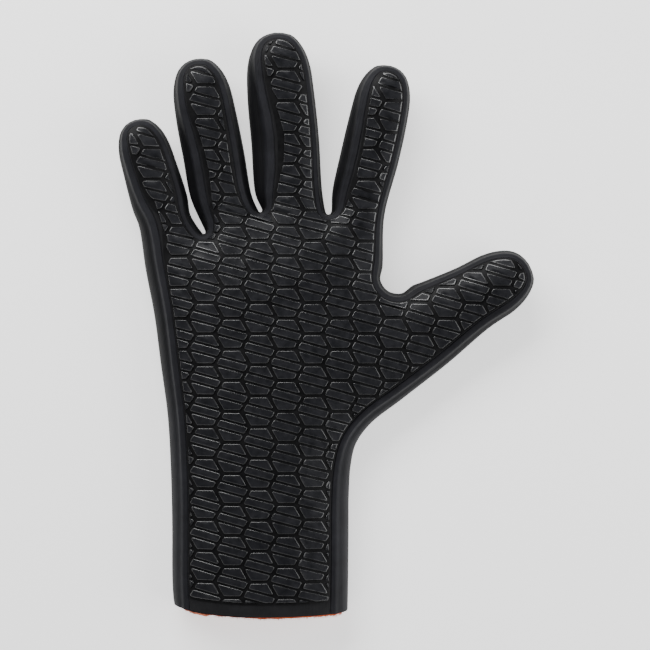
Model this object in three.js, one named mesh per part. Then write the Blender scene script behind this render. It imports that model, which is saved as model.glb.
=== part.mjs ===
// A neoprene diving glove for the right hand, lying on its back with the palm up.
// Millimetres, +Z up, fingers along +Y, thumb towards +X.
// The origin is on the flat back, under the middle of the wrist.
import * as THREE from 'three';

// Driving sizes of the hand's outline
const cuffHalfWidth = 43.1;
const cuffLength = 83.6;        // wrist line to the mouth, at its middle
const mouthRiseLeft = 4.2;      // the mouth's edge is cut back at the little finger side
const mouthRiseRight = 1.2;     // and a little at the thumb side
const palmHalfWidth = 52;
const palmLength = 98;          // wrist line to the root of the little finger
const fingerHalfWidth = 14.5;
const pinkyLength = 59.2;
const ringLength = 81.9;
const middleLength = 87.2;
const indexLength = 76.6;
const thumbLength = 67;

// Driving sizes of its thickness
const wall = 3;                 // neoprene
const seamGap = 0.3;            // clearance between pieces that meet
const edgeHeight = 8.5;         // height of the side panels' widest line
const palmRise = 9;             // palm face of a finger above that line
const palmCrown = 7.5;          // how much further the middle of the palm stands up
const crownReach = 34;          // distance from the edge at which that is reached
const edgeRound = 8.5;          // width of the rounding along the palm's edges
const edgeRoundSkew = 2;        // wider on edges that face -X and tighter on +X
const backRound = 7;            // width of the rounding along the back's edges
const sideStrip = 8.4;          // how far the side panels reach onto the palm at the cuff
const backStrip = 5;            // and round to the back
const curlLift = 8;             // how far the fingertips curl up off the table
const curlStart = 62;           // distance from the palm's middle where the curl starts
const curlEnd = 150;            // and where it is full

// Driving sizes of grip and lining
const gripStop = 6.6;           // bare band of neoprene between the grip and the mouth
const gripSheet = 0.5;          // thickness of the printed sheet
const gripInset = 0.8;          // from the palm panel's edge to the sheet's
const tileHeight = 0.8;
const tileRim = 1.6;            // bare rim of the sheet around the tiles
const tileSlope = 0.5;          // how far a tile's sides lean in
const cellHeight = 14.8;        // honeycomb cell, flat to flat
const cellGroove = 1.5;         // groove between two cells
const smallestTile = 14;        // area below which a cut tile is left out
const liningThickness = 0.9;
const liningClear = 0.8;        // clearance outside it, which takes up the facets' sag
const liningProud = 0.9;        // the lining's edge beyond the neoprene's at the mouth
const liningDepth = 70;         // how far the lining is built up into the cuff

// Fineness of the faceted surfaces
const outlineStep = 15;
const stripSmoothing = 3;       // times that the side panels' reach is evened out
const palmSpacing = 11;
const backSpacing = 19;
const liningFacets = 28;
const liningStations = 6;

const neopreneColour = 0x1d1e21;
const sidePanelColour = 0x222327;
const gripColour = 0x2b2c2f;
const liningColour = 0xd4541f;

// Fingers and thumb: the root as shares of the palm's half width and length, the lean from
// +Y towards +X in degrees, the half width as a share of a finger's, and the fuller side
// of the tip (-1 faces -X). The rest are shares of that half width: where the left and
// right sides end at the root, and how far the side panels reach onto the palm face.
const digits = [
  { name: 'pinky', x: -0.829, y: 1.004, length: pinkyLength, lean: -15.3, width: 0.897,
    full: -1, leftEnd: 1.13, rightEnd: 0.9, stripLeft: 0.48, stripRight: 0.23, stripTip: 0.23 },
  { name: 'ring', x: -0.313, y: 1.058, length: ringLength, lean: -9.1, width: 1,
    full: -1, leftEnd: 1.05, rightEnd: 0.99, stripLeft: 0.44, stripRight: 0.3, stripTip: 0.22 },
  { name: 'middle', x: 0.294, y: 1.123, length: middleLength, lean: -3.8, width: 1.11,
    full: -1, leftEnd: 1.06, rightEnd: 0.96, stripLeft: 0.52, stripRight: 0.19, stripTip: 0.21 },
  { name: 'index', x: 0.885, y: 1.084, length: indexLength, lean: 11.3, width: 0.959,
    full: 1, leftEnd: 0.99, rightEnd: 0.97, stripLeft: 0.5, stripRight: 0.23, stripTip: 0.23 },
  { name: 'thumb', x: 1.4, y: 0.512, length: thumbLength, lean: 60.2, width: 1.13,
    full: -1, leftEnd: 1.24, rightEnd: 1.24, stripLeft: 0.2, stripRight: 0.39, stripTip: 0.21 },
];

// Width of a digit's full and slack side at depths below its tip, all as shares of its
// half width.
const tipStations = [
  { depth: 0.09, full: 0.51, slack: 0.32 },
  { depth: 0.28, full: 0.75, slack: 0.53 },
  { depth: 0.6, full: 0.93, slack: 0.72 },
  { depth: 1.05, full: 1.05, slack: 0.85 },
  { depth: 1.9, full: 1.1, slack: 0.92 },
  { depth: 3.2, full: 1.08, slack: 0.97 },
];
const tipOffset = 0.14;         // the tip's highest point, off the middle line

// Webs between neighbours: shares of the two lengths at which their straight sides end,
// how far below those ends the web lies and its radius, as shares of a finger's half
// width, the lean of that drop and of the gap's mouth in degrees, and the side panel's
// reach there as a share of the cuff's.
const webs = [
  { before: 0.86, after: 0.8, drop: 1.01, lean: -27, open: -24, radius: 0.055, strip: 0.52 },
  { before: 0.84, after: 0.88, drop: 0.61, lean: -22, open: -8, radius: 0.062, strip: 0.43 },
  { before: 0.88, after: 0.84, drop: 0.79, lean: -2.5, open: 3, radius: 0.097, strip: 0.45 },
  { before: 0.93, after: 0.72, drop: 1.5, lean: 20, open: 32, radius: 0.59, strip: 0.55 },
];

// Sides of cuff and palm from the mouth up: height as a share of the cuff's length below
// the wrist and of the palm's above it, half width as a share of the cuff's or palm's, and
// the side panel's reach as a share of the cuff's.
const leftSide = [
  { up: -1, out: 0.975, strip: 1 },
  { up: -0.92, out: 0.985, strip: 1 },
  { up: -0.8, out: 0.998, strip: 1 },
  { up: -0.5, out: 1, strip: 1.04 },
  { up: -0.2, out: 1.013, strip: 1.07 },
  { up: 0.12, out: 0.87, strip: 1.07 },
  { up: 0.37, out: 0.933, strip: 1.1 },
  { up: 0.62, out: 0.995, strip: 1.14 },
  { up: 0.85, out: 1.077, strip: 1.12 },
  { up: 1.06, out: 1.136, strip: 1 },
];
const rightSide = [
  { up: 0.2, out: 1.318, strip: 0.83 },
  { up: 0.08, out: 1.028, strip: 0.93 },
  { up: -0.02, out: 1.08, strip: 0.98 },
  { up: -0.14, out: 1.022, strip: 1 },
  { up: -0.3, out: 1, strip: 1 },
  { up: -0.6, out: 0.995, strip: 1 },
  { up: -0.92, out: 0.988, strip: 1 },
  { up: -1, out: 0.985, strip: 1 },
];
const leftSideEnd = 0.7;        // share of the little finger where its left side starts
const rightSideEnd = 0.86;      // share of the thumb where its right side ends

// Plan outline

function leaning(degrees) {
  const lean = THREE.MathUtils.degToRad(degrees);
  return {
    along: new THREE.Vector2(Math.sin(lean), Math.cos(lean)),
    right: new THREE.Vector2(Math.cos(lean), -Math.sin(lean)),
  };
}

function mouthLine(x) {
  const rise = x < 0 ? mouthRiseLeft : mouthRiseRight;
  return rise * (x / cuffHalfWidth) ** 2 - cuffLength;
}

function digitHalfWidth(digit) {
  return digit.width * fingerHalfWidth;
}

function digitPoint(digit, depth, side, share) {
  const { along, right } = leaning(digit.lean);
  return new THREE.Vector2(digit.x * palmHalfWidth, digit.y * palmLength)
    .addScaledVector(along, digit.length - depth)
    .addScaledVector(right, side * share * digitHalfWidth(digit));
}

function digitEnd(digit, side, endShare) {
  const share = side < 0 ? digit.leftEnd : digit.rightEnd;
  return digitPoint(digit, endShare * digit.length, side, share);
}

// Points of one side of a digit, from its tip down to where the web or palm takes over.
function digitSide(digit, side, endShare) {
  const half = digitHalfWidth(digit);
  const column = side === digit.full ? 'full' : 'slack';
  const strip = side < 0 ? digit.stripLeft : digit.stripRight;
  const lastDepth = endShare * digit.length / half - 0.6;
  const deepest = 1.9;
  const points = tipStations.filter((row) => row.depth < lastDepth).map((row) => {
    const blend = Math.min(1, row.depth / deepest);
    return {
      at: digitPoint(digit, row.depth * half, side, row[column]),
      strip: half * THREE.MathUtils.lerp(digit.stripTip, strip, blend),
    };
  });
  points.push({ at: digitEnd(digit, side, endShare), strip: half * strip });
  return points;
}

function webPoints(web, before, after) {
  const radius = web.radius * fingerHalfWidth;
  const bottom = digitEnd(before, 1, web.before).lerp(digitEnd(after, -1, web.after), 0.5)
    .addScaledVector(leaning(web.lean).along, -web.drop * fingerHalfWidth);
  const middle = bottom.clone().addScaledVector(leaning(web.open).along, radius);
  return [90, 45, 0, -45, -90].map((turn) => ({
    at: middle.clone().addScaledVector(leaning(web.open + turn).along, -radius),
    strip: web.strip * sideStrip,
  }));
}

function palmSide(side) {
  return (row) => {
    const [width, length] = row.up < 0 ? [cuffHalfWidth, cuffLength] : [palmHalfWidth, palmLength];
    const x = side * row.out * width;
    return {
      at: new THREE.Vector2(x, row.up === -1 ? mouthLine(x) : row.up * length),
      strip: row.strip * sideStrip,
    };
  };
}

function outlineControls() {
  const controls = leftSide.map(palmSide(-1));
  digits.forEach((digit, order) => {
    const web = webs[order];
    const climb = digitSide(digit, -1, order > 0 ? webs[order - 1].after : leftSideEnd);
    const descent = digitSide(digit, 1, web ? web.before : rightSideEnd);
    controls.push(...climb.reverse());
    controls.push({
      at: digitPoint(digit, 0, digit.full, tipOffset),
      strip: digit.stripTip * digitHalfWidth(digit),
      isTip: true,
    });
    controls.push(...descent);
    if (web) controls.push(...webPoints(web, digit, digits[order + 1]));
  });
  controls.push(...rightSide.map(palmSide(1)));
  return controls;
}

// The outline runs clockwise, from the mouth's left corner over the fingertips to its
// right corner. Every control point is on it, with points between those far apart.
function makeOutline() {
  const controls = outlineControls();
  const curve = new THREE.CatmullRomCurve3(
    controls.map((control) => new THREE.Vector3(control.at.x, control.at.y, 0)),
    false,
    'centripetal',
  );
  const spans = controls.length - 1;
  const points = controls.slice(0, spans).flatMap((from, span) => {
    const to = controls[span + 1];
    const steps = Math.max(1, Math.ceil(from.at.distanceTo(to.at) / outlineStep));
    return Array.from({ length: steps }, (_, step) => {
      const spot = curve.getPoint((span + step / steps) / spans);
      return {
        at: new THREE.Vector2(spot.x, spot.y),
        strip: THREE.MathUtils.lerp(from.strip, to.strip, step / steps),
        isTip: step === 0 && from.isTip === true,
      };
    });
  });
  points.push({ ...controls[spans], isTip: false });
  for (let pass = 0; pass < stripSmoothing; pass += 1) {
    const strips = points.map((point) => point.strip);
    points.forEach((point, index) => {
      const beside = (strips[index - 1] ?? strips[index]) + (strips[index + 1] ?? strips[index]);
      point.strip = strips[index] / 2 + beside / 4;
    });
  }
  points.forEach((point, index) => {
    const before = points[Math.max(0, index - 1)].at;
    const after = points[Math.min(points.length - 1, index + 1)].at;
    point.tangent = after.clone().sub(before).normalize();
    point.inward = new THREE.Vector2(point.tangent.y, -point.tangent.x);
  });
  return points;
}

const outline = makeOutline();

// Distance from the edge, and heights

// The outline's straight stretches. The cuff's sides are carried on past the mouth, so
// that the cuff keeps its height there.
function makeStretches() {
  const pastMouth = new THREE.Vector2(0, -4 * cuffLength);
  const places = outline.map((point) => point.at);
  places.unshift(places[0].clone().add(pastMouth));
  places.push(places[places.length - 1].clone().add(pastMouth));
  return places.slice(1).map((to, index) => {
    const from = places[index];
    const along = to.clone().sub(from);
    const length = along.length();
    along.divideScalar(length);
    return { from, along, length, round: edgeRound + edgeRoundSkew * along.y };
  });
}

const stretches = makeStretches();

// The integral of 1 / distance cubed from a place to a stretch.
function pullOf(stretch, x, y) {
  const dx = stretch.from.x - x;
  const dy = stretch.from.y - y;
  const near = dx * stretch.along.x + dy * stretch.along.y;
  const far = near + stretch.length;
  const side = dx * stretch.along.y - dy * stretch.along.x;
  if (Math.abs(side) < 1e-4) return Math.abs(1 / near ** 2 - 1 / far ** 2) / 2;
  return (far / Math.hypot(far, side) - near / Math.hypot(near, side)) / side ** 2;
}

// A smooth distance from the edge, in millimetres and in widths of the rounding there.
function insideDistance(x, y) {
  let plain = 0;
  let weighted = 0;
  stretches.forEach((stretch) => {
    const pull = pullOf(stretch, x, y);
    plain += pull;
    weighted += pull * stretch.round ** 2;
  });
  return { reach: Math.sqrt(2 / plain), rounds: Math.sqrt(2 / weighted) };
}

function curl(x, y) {
  const away = Math.hypot(x - 0.12 * palmHalfWidth, y - 0.51 * palmLength);
  const above = THREE.MathUtils.smoothstep(y, 0.15 * palmLength, 0.6 * palmLength);
  return curlLift * above * THREE.MathUtils.smoothstep(away, curlStart, curlEnd);
}

function crown(reach) {
  return palmCrown * Math.sin(Math.PI / 2 * Math.min(1, reach / crownReach));
}

// What the height depends on at a place, on the palm face (1) or the back (-1): the
// cosine of the rounding, and the gentle rise of crown and curl.
function heightParts(x, y, face) {
  const { reach, rounds } = insideDistance(x, y);
  const inward = face > 0 ? rounds : reach / backRound;
  return { reach, inward, rise: curl(x, y) + (face > 0 ? crown(reach) : 0) };
}

function slopeOf(x, y, face, key) {
  const step = 0.04;
  return new THREE.Vector2(
    heightParts(x + step, y, face)[key] - heightParts(x - step, y, face)[key],
    heightParts(x, y + step, face)[key] - heightParts(x, y - step, face)[key],
  ).divideScalar(2 * step);
}

// The glove's outer surface over a place inside the outline.
function surfaceAt(x, y, face) {
  const parts = heightParts(x, y, face);
  const height = face > 0 ? palmRise : edgeHeight;
  const cosine = Math.max(0, 1 - parts.inward);
  const sine = Math.sqrt(1 - cosine ** 2);
  const inward = slopeOf(x, y, face, 'inward');
  const rise = slopeOf(x, y, face, 'rise');
  const normal = new THREE.Vector3(
    -height * cosine * inward.x - face * sine * rise.x,
    -height * cosine * inward.y - face * sine * rise.y,
    face * sine,
  ).normalize();
  const z = edgeHeight + face * height * sine + parts.rise;
  return { position: new THREE.Vector3(x, y, z), normal };
}

// The same on the outline itself, where the side panels stand upright.
function surfaceAtEdge(point) {
  const { at, inward } = point;
  return {
    position: new THREE.Vector3(at.x, at.y, edgeHeight + curl(at.x, at.y)),
    normal: new THREE.Vector3(-inward.x, -inward.y, 0),
  };
}

// The place straight inwards from an outline point where the distance is a given reach.
function placeInside(index, reach) {
  const point = outline[index];
  const spot = point.at.clone().addScaledVector(point.inward, Math.min(reach, 0.5));
  for (let turn = 0; turn < 30; turn += 1) {
    const short = reach - insideDistance(spot.x, spot.y).reach;
    if (Math.abs(short) < 0.005) break;
    const slope = slopeOf(spot.x, spot.y, 1, 'reach');
    const move = slope.clone().multiplyScalar(short / Math.max(0.2, slope.lengthSq()));
    spot.add(move.clampLength(0, 1.2));
  }
  if (index === 0 || index === outline.length - 1) spot.y = mouthLine(spot.x);
  return spot;
}

// Triangles over a closed loop with inner points: ears are cut off the loop, the inner
// points are put in and edges are turned until every triangle is well shaped.

function cross(a, b, c) {
  return (b.x - a.x) * (c.y - a.y) - (b.y - a.y) * (c.x - a.x);
}

function inCircle(a, b, c, d) {
  const [ax, ay, bx, by, cx, cy] = [a.x - d.x, a.y - d.y, b.x - d.x, b.y - d.y, c.x - d.x, c.y - d.y];
  return (ax ** 2 + ay ** 2) * (bx * cy - cx * by)
    - (bx ** 2 + by ** 2) * (ax * cy - cx * ay)
    + (cx ** 2 + cy ** 2) * (ax * by - bx * ay) > 1e-7;
}

function turnEdges(points, triangles) {
  const owners = new Map();
  triangles.forEach((triangle, index) => triangle.forEach((from, corner) => {
    owners.set(`${from},${triangle[(corner + 1) % 3]}`, { index, far: triangle[(corner + 2) % 3] });
  }));
  const touched = new Set();
  owners.forEach((own, key) => {
    const [a, b] = key.split(',').map(Number);
    const other = owners.get(`${b},${a}`);
    if (!other || a > b || touched.has(own.index) || touched.has(other.index)) return;
    if (!inCircle(points[a], points[b], points[own.far], points[other.far])) return;
    triangles[own.index] = [own.far, other.far, b];
    triangles[other.index] = [other.far, own.far, a];
    touched.add(own.index).add(other.index);
  });
  return touched.size > 0;
}

function turnAllEdges(points, triangles) {
  for (let pass = 0; pass < 400 && turnEdges(points, triangles); pass += 1);
  return triangles;
}

function triangulate(loop, inner) {
  const points = [...loop, ...inner];
  const triangles = THREE.ShapeUtils.triangulateShape(loop, [])
    .map((triangle) => counterClockwise(triangle, points));
  inner.forEach((point, order) => {
    const added = loop.length + order;
    const home = triangles.findIndex(([a, b, c]) => cross(points[a], points[b], point) > 0
      && cross(points[b], points[c], point) > 0 && cross(points[c], points[a], point) > 0);
    if (home < 0) return;
    const [a, b, c] = triangles[home];
    triangles.splice(home, 1, [a, b, added], [b, c, added], [c, a, added]);
  });
  return turnAllEdges(points, triangles);
}

// Closed bodies

// A body from an outer and an inner skin, each a list of points and of triangles that
// face outwards. Points on the outer skin's rim have the same numbers on the inner one.
function closeBody(outer, inner) {
  const edges = new Set();
  outer.triangles.forEach((triangle) => triangle.forEach((from, corner) => {
    edges.add(`${from},${triangle[(corner + 1) % 3]}`);
  }));
  const shift = outer.points.length;
  const points = [...outer.points, ...inner.points];
  const faces = [...outer.triangles];
  inner.triangles.forEach(([a, b, c]) => faces.push([a + shift, c + shift, b + shift]));
  edges.forEach((key) => {
    const [a, b] = key.split(',').map(Number);
    if (edges.has(`${b},${a}`)) return;
    const [across, back] = [points[a].distanceTo(points[b + shift]), points[b].distanceTo(points[a + shift])];
    if (across < back) faces.push([b, a, b + shift], [a, a + shift, b + shift]);
    else faces.push([b, a, a + shift], [b, a + shift, b + shift]);
  });
  const used = new Map();
  const places = [];
  const index = faces.flat().map((corner) => {
    if (!used.has(corner)) {
      used.set(corner, used.size);
      places.push(...points[corner].toArray());
    }
    return used.get(corner);
  });
  const geometry = new THREE.BufferGeometry();
  geometry.setAttribute('position', new THREE.Float32BufferAttribute(places, 3));
  geometry.setIndex(index);
  geometry.computeVertexNormals();
  return geometry;
}

function skin(spots, offset) {
  return spots.map(({ position, normal }) => position.clone().addScaledVector(normal, offset));
}

function thicken(spots, triangles, outerOffset, innerOffset) {
  return closeBody(
    { points: skin(spots, outerOffset), triangles },
    { points: skin(spots, innerOffset), triangles },
  );
}

// Panels

// The seam between a side panel and the palm or back panel. Each panel's edge is half the
// clearance away from it, along the surface.
function seamAt(index, face) {
  const place = placeInside(index, face > 0 ? outline[index].strip : backStrip);
  const spot = surfaceAt(place.x, place.y, face);
  const slope = slopeOf(place.x, place.y, 1, 'reach').normalize();
  const inward = new THREE.Vector3(slope.x, slope.y, 0);
  inward.addScaledVector(spot.normal, -inward.dot(spot.normal)).normalize();
  return { ...spot, inward };
}

function besideSeam(seam, distance) {
  return { ...seam, position: seam.position.clone().addScaledVector(seam.inward, distance) };
}

const seams = {
  palm: outline.map((_, index) => seamAt(index, 1)),
  back: outline.map((_, index) => seamAt(index, -1)),
};

// Sections across a side panel, from the back seam over the edge to the palm seam, at
// shares of its reach.
const sectionShares = { back: [0.3], palm: [0.14, 0.45] };

function sidePanelRow(index) {
  const onBack = sectionShares.back.map((share) => {
    const place = placeInside(index, share * backStrip);
    return surfaceAt(place.x, place.y, -1);
  });
  const onPalm = sectionShares.palm.map((share) => {
    const place = placeInside(index, share * outline[index].strip);
    return surfaceAt(place.x, place.y, 1);
  });
  return [
    besideSeam(seams.back[index], -seamGap / 2),
    ...onBack,
    surfaceAtEdge(outline[index]),
    ...onPalm,
    besideSeam(seams.palm[index], -seamGap / 2),
  ];
}

// A row at a fingertip is moved along the outline, to clear the next side panel.
function moveRow(row, index, distance) {
  const { tangent } = outline[index];
  const move = new THREE.Vector3(tangent.x, tangent.y, 0).multiplyScalar(distance);
  return row.map((spot) => ({ ...spot, position: spot.position.clone().add(move) }));
}

function makeSidePanel(first, last) {
  const rows = [];
  for (let index = first; index <= last; index += 1) {
    let row = sidePanelRow(index);
    if (index === first && outline[index].isTip) row = moveRow(row, index, seamGap / 2);
    if (index === last && outline[index].isTip) row = moveRow(row, index, -seamGap / 2);
    rows.push(row);
  }
  const across = rows[0].length;
  const triangles = [];
  for (let row = 0; row < rows.length - 1; row += 1) {
    for (let column = 0; column < across - 1; column += 1) {
      const corner = row * across + column;
      triangles.push([corner, corner + 1, corner + across + 1]);
      triangles.push([corner, corner + across + 1, corner + across]);
    }
  }
  return thicken(rows.flat(), triangles, 0, -wall);
}

function distanceToLoop(point, loop) {
  return Math.min(...loop.map((from, index) => {
    const to = loop[(index + 1) % loop.length];
    const along = to.clone().sub(from);
    const share = THREE.MathUtils.clamp(point.clone().sub(from).dot(along) / along.lengthSq(), 0, 1);
    return from.clone().addScaledVector(along, share).distanceTo(point);
  }));
}

function isInside(point, loop) {
  let inside = false;
  loop.forEach((from, index) => {
    const to = loop[(index + 1) % loop.length];
    if ((from.y > point.y) === (to.y > point.y)) return;
    const x = from.x + (to.x - from.x) * (point.y - from.y) / (to.y - from.y);
    if (x > point.x) inside = !inside;
  });
  return inside;
}

// Points inside a loop that carry the dome: a row along tight edges, then a plain grid.
function innerPoints(loop, spacing, face) {
  const kept = [];
  const keep = (point, clear) => {
    if (!isInside(point, loop) || distanceToLoop(point, loop) < 0.45 * clear) return;
    if (kept.some((other) => other.distanceTo(point) < 0.6 * clear)) return;
    kept.push(point);
  };
  if (face > 0) {
    outline.forEach((point, index) => {
      if (point.strip < 0.6 * edgeRound) keep(placeInside(index, 0.75 * edgeRound), 0.6 * edgeRound);
    });
  }
  const low = new THREE.Box2().setFromPoints(loop);
  const rowStep = spacing * Math.sqrt(3) / 2;
  for (let row = 1; low.min.y + row * rowStep < low.max.y; row += 1) {
    for (let column = row % 2 / 2; low.min.x + column * spacing < low.max.x; column += 1) {
      const x = low.min.x + column * spacing;
      keep(new THREE.Vector2(x, low.min.y + row * rowStep), spacing);
    }
  }
  return kept;
}

// Places along the mouth's edge or above it, from the right-hand seam to the left one.
function acrossCuff(from, to, above) {
  const steps = 8;
  return Array.from({ length: steps - 1 }, (_, step) => {
    const x = THREE.MathUtils.lerp(from.x, to.x, (step + 1) / steps);
    return new THREE.Vector2(x, mouthLine(x) + above);
  });
}

// Grip: a thin sheet on the palm panel with raised tiles

function insetLoop(loop, distance) {
  return loop.map((point, index) => {
    const before = loop[(index + loop.length - 1) % loop.length];
    const after = loop[(index + 1) % loop.length];
    const along = point.clone().sub(before).normalize().add(after.clone().sub(point).normalize());
    along.normalize();
    return new THREE.Vector2(point.x + along.y * distance, point.y - along.x * distance);
  });
}

// The sheet's edge follows the palm panel's and stops short of the mouth.
function makeGripLoop(palmLoop) {
  const inset = insetLoop(palmLoop, gripInset).slice(0, outline.length)
    .filter((point) => point.y > mouthLine(point.x) + gripStop + 1);
  const left = new THREE.Vector2(inset[0].x, mouthLine(inset[0].x) + gripStop);
  const last = inset[inset.length - 1];
  const right = new THREE.Vector2(last.x, mouthLine(last.x) + gripStop);
  return [left, ...inset, right, ...acrossCuff(right, left, gripStop)];
}

function counterClockwise([a, b, c], points) {
  return cross(points[a], points[b], points[c]) > 0 ? [a, b, c] : [a, c, b];
}

function panelRim(face) {
  const rim = seams[face > 0 ? 'palm' : 'back'].map((seam) => besideSeam(seam, seamGap / 2));
  const mouth = acrossCuff(rim[rim.length - 1].position, rim[0].position, 0)
    .map((place) => surfaceAt(place.x, place.y, face));
  return [...rim, ...mouth];
}

function planOf(spots) {
  return spots.map(({ position }) => new THREE.Vector2(position.x, position.y));
}

function makeBackPanel() {
  const rim = panelRim(-1);
  const loop = planOf(rim);
  const inner = innerPoints(loop, backSpacing, -1);
  const spots = [...rim, ...inner.map((place) => surfaceAt(place.x, place.y, -1))];
  const triangles = triangulate(loop, inner).map(([a, b, c]) => [a, c, b]);
  return thicken(spots, triangles, 0, -wall);
}

// The palm panel has the grip's edge in its facets, so that the two lie on each other.
function makePalmPanel() {
  const rim = panelRim(1);
  const loop = planOf(rim);
  const gripLoop = makeGripLoop(loop);
  const inner = innerPoints(gripLoop, palmSpacing, 1);
  const core = triangulate(gripLoop, inner);
  const flat = [...loop, ...gripLoop];
  const band = turnAllEdges(flat, THREE.ShapeUtils.triangulateShape(loop, [gripLoop])
    .map((triangle) => counterClockwise(triangle, flat)));
  const triangles = [...band, ...core.map((triangle) => triangle.map((corner) => corner + loop.length))];
  const spots = [...rim, ...[...gripLoop, ...inner].map((place) => surfaceAt(place.x, place.y, 1))];
  return { gripLoop, inner, core, geometry: thicken(spots, triangles, 0, -wall) };
}

// How far a ray from a place runs before it meets a loop.
function rayLength(from, towards, loop) {
  let nearest = Infinity;
  loop.forEach((start, index) => {
    const end = loop[(index + 1) % loop.length];
    const edge = end.clone().sub(start);
    const gap = start.clone().sub(from);
    const turn = towards.x * edge.y - towards.y * edge.x;
    if (Math.abs(turn) < 1e-9) return;
    const distance = (gap.x * edge.y - gap.y * edge.x) / turn;
    const share = (gap.x * towards.y - gap.y * towards.x) / turn;
    if (distance > 0 && share >= 0 && share <= 1) nearest = Math.min(nearest, distance);
  });
  return nearest;
}

function hexagon(centre, apothem) {
  const radius = apothem * 2 / Math.sqrt(3);
  return [0, 60, 120, 180, 240, 300].map((degrees) => {
    const angle = THREE.MathUtils.degToRad(degrees);
    return new THREE.Vector2(Math.cos(angle), Math.sin(angle)).multiplyScalar(radius).add(centre);
  });
}

// Leaves out the corners of a polygon that hardly turn it.
function simplify(polygon, tolerance) {
  const kept = [...polygon];
  for (;;) {
    const heights = kept.map((point, index) => {
      const before = kept[(index + kept.length - 1) % kept.length];
      const after = kept[(index + 1) % kept.length];
      return Math.abs(cross(before, point, after)) / before.distanceTo(after);
    });
    const lowest = heights.indexOf(Math.min(...heights));
    if (kept.length <= 3 || heights[lowest] > tolerance) return kept;
    kept.splice(lowest, 1);
  }
}

// One cell's tile. Where the border cuts the cell, the tile is what can be seen from the
// middle of the part inside it.
function makeTile(centre, border) {
  const cell = hexagon(centre, (cellHeight - cellGroove) / 2);
  const probes = [centre, ...cell.flatMap((corner) => [
    corner.clone().lerp(centre, 0.1),
    corner.clone().lerp(centre, 0.5),
  ])];
  const inside = probes.filter((probe) => isInside(probe, border));
  if (inside.length === 0) return null;
  const cutByBorder = inside.length < probes.length
    || border.some((point) => isInside(point, cell));
  if (!cutByBorder) return { middle: centre, polygon: cell };
  const middle = inside.reduce((sum, probe) => sum.add(probe), new THREE.Vector2())
    .divideScalar(inside.length);
  if (!isInside(middle, border)) return null;
  const rays = 40;
  const polygon = Array.from({ length: rays }, (_, ray) => {
    const angle = 2 * Math.PI * ray / rays;
    const towards = new THREE.Vector2(Math.cos(angle), Math.sin(angle));
    const length = Math.min(rayLength(middle, towards, cell), rayLength(middle, towards, border));
    return middle.clone().addScaledVector(towards, length);
  });
  return { middle, polygon: simplify(polygon, 0.4) };
}

function makeTiles(border) {
  const columnStep = cellHeight * Math.sqrt(3) / 2;
  const box = new THREE.Box2().setFromPoints(border);
  const tiles = [];
  for (let column = -20; column <= 20; column += 1) {
    for (let row = -20; row <= 20; row += 1) {
      const centre = new THREE.Vector2(column, row + (column % 2 === 0 ? 0 : 0.5))
        .multiply(new THREE.Vector2(columnStep, cellHeight));
      const tile = box.containsPoint(centre) || box.distanceToPoint(centre) < cellHeight
        ? makeTile(centre, border) : null;
      if (tile && Math.abs(THREE.ShapeUtils.area(tile.polygon)) > smallestTile) tiles.push(tile);
    }
  }
  return tiles;
}

function makeGrip({ gripLoop: loop, inner, core }) {
  const tiles = makeTiles(insetLoop(loop, tileRim));
  const raised = (place, height) => {
    const { position, normal } = surfaceAt(place.x, place.y, 1);
    return position.addScaledVector(normal, height);
  };
  const sheetTop = seamGap + gripSheet;
  const holes = tiles.map((tile) => tile.polygon);
  const flat = [...loop, ...holes.flat()];
  const points = flat.map((place) => raised(place, sheetTop));
  const triangles = THREE.ShapeUtils.triangulateShape(loop, holes)
    .map((triangle) => counterClockwise(triangle, flat));
  let foot = loop.length;
  tiles.forEach(({ middle, polygon }) => {
    const top = points.length;
    polygon.forEach((corner) => {
      const towards = middle.clone().sub(corner).setLength(tileSlope);
      points.push(raised(corner.clone().add(towards), sheetTop + tileHeight));
    });
    const peak = points.push(raised(middle, sheetTop + tileHeight)) - 1;
    polygon.forEach((_, corner) => {
      const next = (corner + 1) % polygon.length;
      triangles.push([foot + corner, foot + next, top + next]);
      triangles.push([foot + corner, top + next, top + corner]);
      triangles.push([top + corner, top + next, peak]);
    });
    foot += polygon.length;
  });
  const underside = [...loop, ...inner].map((place) => raised(place, seamGap));
  return closeBody({ points, triangles }, { points: underside, triangles: core });
}

// Lining: a sleeve inside the cuff

function sideAt(y, side) {
  const points = side < 0 ? outline : [...outline].reverse();
  const next = Math.max(1, points.findIndex((point) => point.at.y > y));
  const [low, high] = [points[next - 1].at, points[next].at];
  const share = THREE.MathUtils.clamp((y - low.y) / (high.y - low.y), 0, 1);
  return THREE.MathUtils.lerp(low.x, high.x, share);
}

function liningSpot(share, turn) {
  const level = THREE.MathUtils.lerp(-cuffLength, liningDepth - cuffLength, share);
  const [left, right] = [sideAt(level, -1), sideAt(level, 1)];
  const angle = 2 * Math.PI * turn / liningFacets;
  const x = (left + right) / 2 - Math.cos(angle) * (right - left) / 2;
  const y = THREE.MathUtils.lerp(mouthLine(x) - liningProud, level, share);
  const face = turn < liningFacets / 2 ? 1 : -1;
  if (turn % (liningFacets / 2) !== 0) return surfaceAt(x, y, face);
  return {
    position: new THREE.Vector3(x, y, edgeHeight),
    normal: new THREE.Vector3(Math.sign(x), 0, 0),
  };
}

function makeLining() {
  const spots = [];
  const triangles = [];
  for (let station = 0; station < liningStations; station += 1) {
    for (let turn = 0; turn < liningFacets; turn += 1) {
      spots.push(liningSpot(station / (liningStations - 1), turn));
      if (station > 0) {
        const corner = station * liningFacets + turn;
        const next = station * liningFacets + (turn + 1) % liningFacets;
        triangles.push([corner, corner - liningFacets, next - liningFacets]);
        triangles.push([corner, next - liningFacets, next]);
      }
    }
  }
  const outer = -wall - liningClear;
  return thicken(spots, triangles, outer, outer - liningThickness);
}

// The glove

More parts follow.
